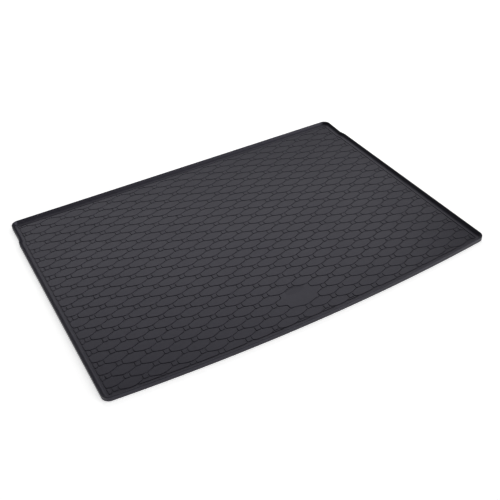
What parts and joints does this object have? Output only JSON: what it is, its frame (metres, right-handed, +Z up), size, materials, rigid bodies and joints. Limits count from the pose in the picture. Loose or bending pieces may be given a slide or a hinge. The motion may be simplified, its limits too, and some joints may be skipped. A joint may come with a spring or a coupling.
{
  "type": "car boot liner",
  "caption": "Flat rubber boot liner with a low rim all round, a bowed tailgate edge, a small step in each side and an anti-slip floor of oval pads and small squares.",
  "frame": {"origin": "middle of the footprint, on the underside", "axes": "+X along the width, +Y towards the seat-back edge, +Z up out of the tray"},
  "size_m": [1, 0.722, 0.012],
  "materials": {
    "rubber": "black moulded rubber, fine matt grain with a soft sheen"
  },
  "bodies": {
    "root": {"boot_liner": "rubber"}
  },
  "joints": []
}
